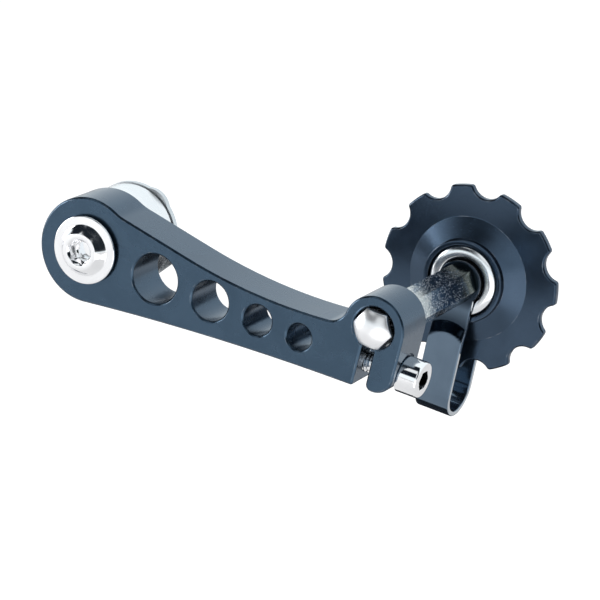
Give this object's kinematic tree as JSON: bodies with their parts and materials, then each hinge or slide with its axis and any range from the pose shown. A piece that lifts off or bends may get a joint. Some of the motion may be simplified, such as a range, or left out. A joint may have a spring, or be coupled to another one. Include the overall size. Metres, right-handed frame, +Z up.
{
  "type": "bicycle chain tensioner",
  "caption": "Bolt-on chain tensioner: a pierced arm clamps a hexagonal axle that carries a toothed pulley and a chain guide strap.",
  "frame": {"origin": "centre of the face that seats on the frame's hanger, on the hanger bolt's axis", "axes": "+X along the arm from the hanger bolt to the pulley axle, +Y along the bolt from the outside in to the wheel, +Z up"},
  "size_m": [0.1045, 0.0628, 0.0542],
  "materials": {
    "black_anodised": "satin black anodised",
    "black_strap": "gloss black plated",
    "polished_chrome": "polished plate",
    "plated_steel": "bright zinc plate",
    "bright_cap": "bright pressed steel",
    "dark_steel": "blackened",
    "bearing_steel": "ground",
    "cage_steel": "pressed",
    "black_turned": "turned and black anodised"
  },
  "bodies": {
    "hanger": {"hanger_bolt": "polished_chrome", "spacer": "plated_steel", "stop_plate": "plated_steel"},
    "arm": {"arm": "black_anodised", "pinch_bolt": "polished_chrome"},
    "axle": {"hex_axle": "plated_steel", "axle_bolt": "polished_chrome", "axle_washer": "plated_steel", "sleeve": "plated_steel", "front_shim": "dark_steel", "rear_shim": "dark_steel", "front_cap": "bright_cap", "rear_cap": "bright_cap", "bearing_inner_ring": "bearing_steel"},
    "guide": {"guide_strap": "black_strap"},
    "pulley": {"pulley": "black_turned", "bearing_outer_ring": "bearing_steel", "front_shield": "bearing_steel", "rear_shield": "bearing_steel"},
    "cage": {"cage": "cage_steel", "ball_1": "bearing_steel", "ball_2": "bearing_steel", "ball_3": "bearing_steel", "ball_4": "bearing_steel", "ball_5": "bearing_steel", "ball_6": "bearing_steel", "ball_7": "bearing_steel", "ball_8": "bearing_steel", "ball_9": "bearing_steel"}
  },
  "joints": [
    {"name": "arm_swing", "type": "hinge", "parent": "hanger", "child": "arm", "pos_m": [0, -0.015, 0], "axis": [0, 1, 0], "range_deg": [-60, 60]},
    {"name": "axle_slide", "type": "slide", "parent": "arm", "child": "axle", "axis": [0, 1, 0], "range_m": [-0.028, 0.003]},
    {"name": "guide_turn", "type": "hinge", "parent": "axle", "child": "guide", "pos_m": [0.071, 0.0287, 0], "axis": [0, 1, 0], "range_deg": [-60, 60]},
    {"name": "pulley_spin", "type": "hinge", "parent": "axle", "child": "pulley", "pos_m": [0.071, 0.0287, 0], "axis": [0, 1, 0], "continuous": true},
    {"name": "cage_spin", "type": "hinge", "parent": "axle", "child": "cage", "pos_m": [0.071, 0.0287, 0], "axis": [0, 1, 0], "continuous": true}
  ],
  "couplings": [
    {"joint": "cage_spin", "follows": "pulley_spin", "ratio": 0.5833}
  ]
}
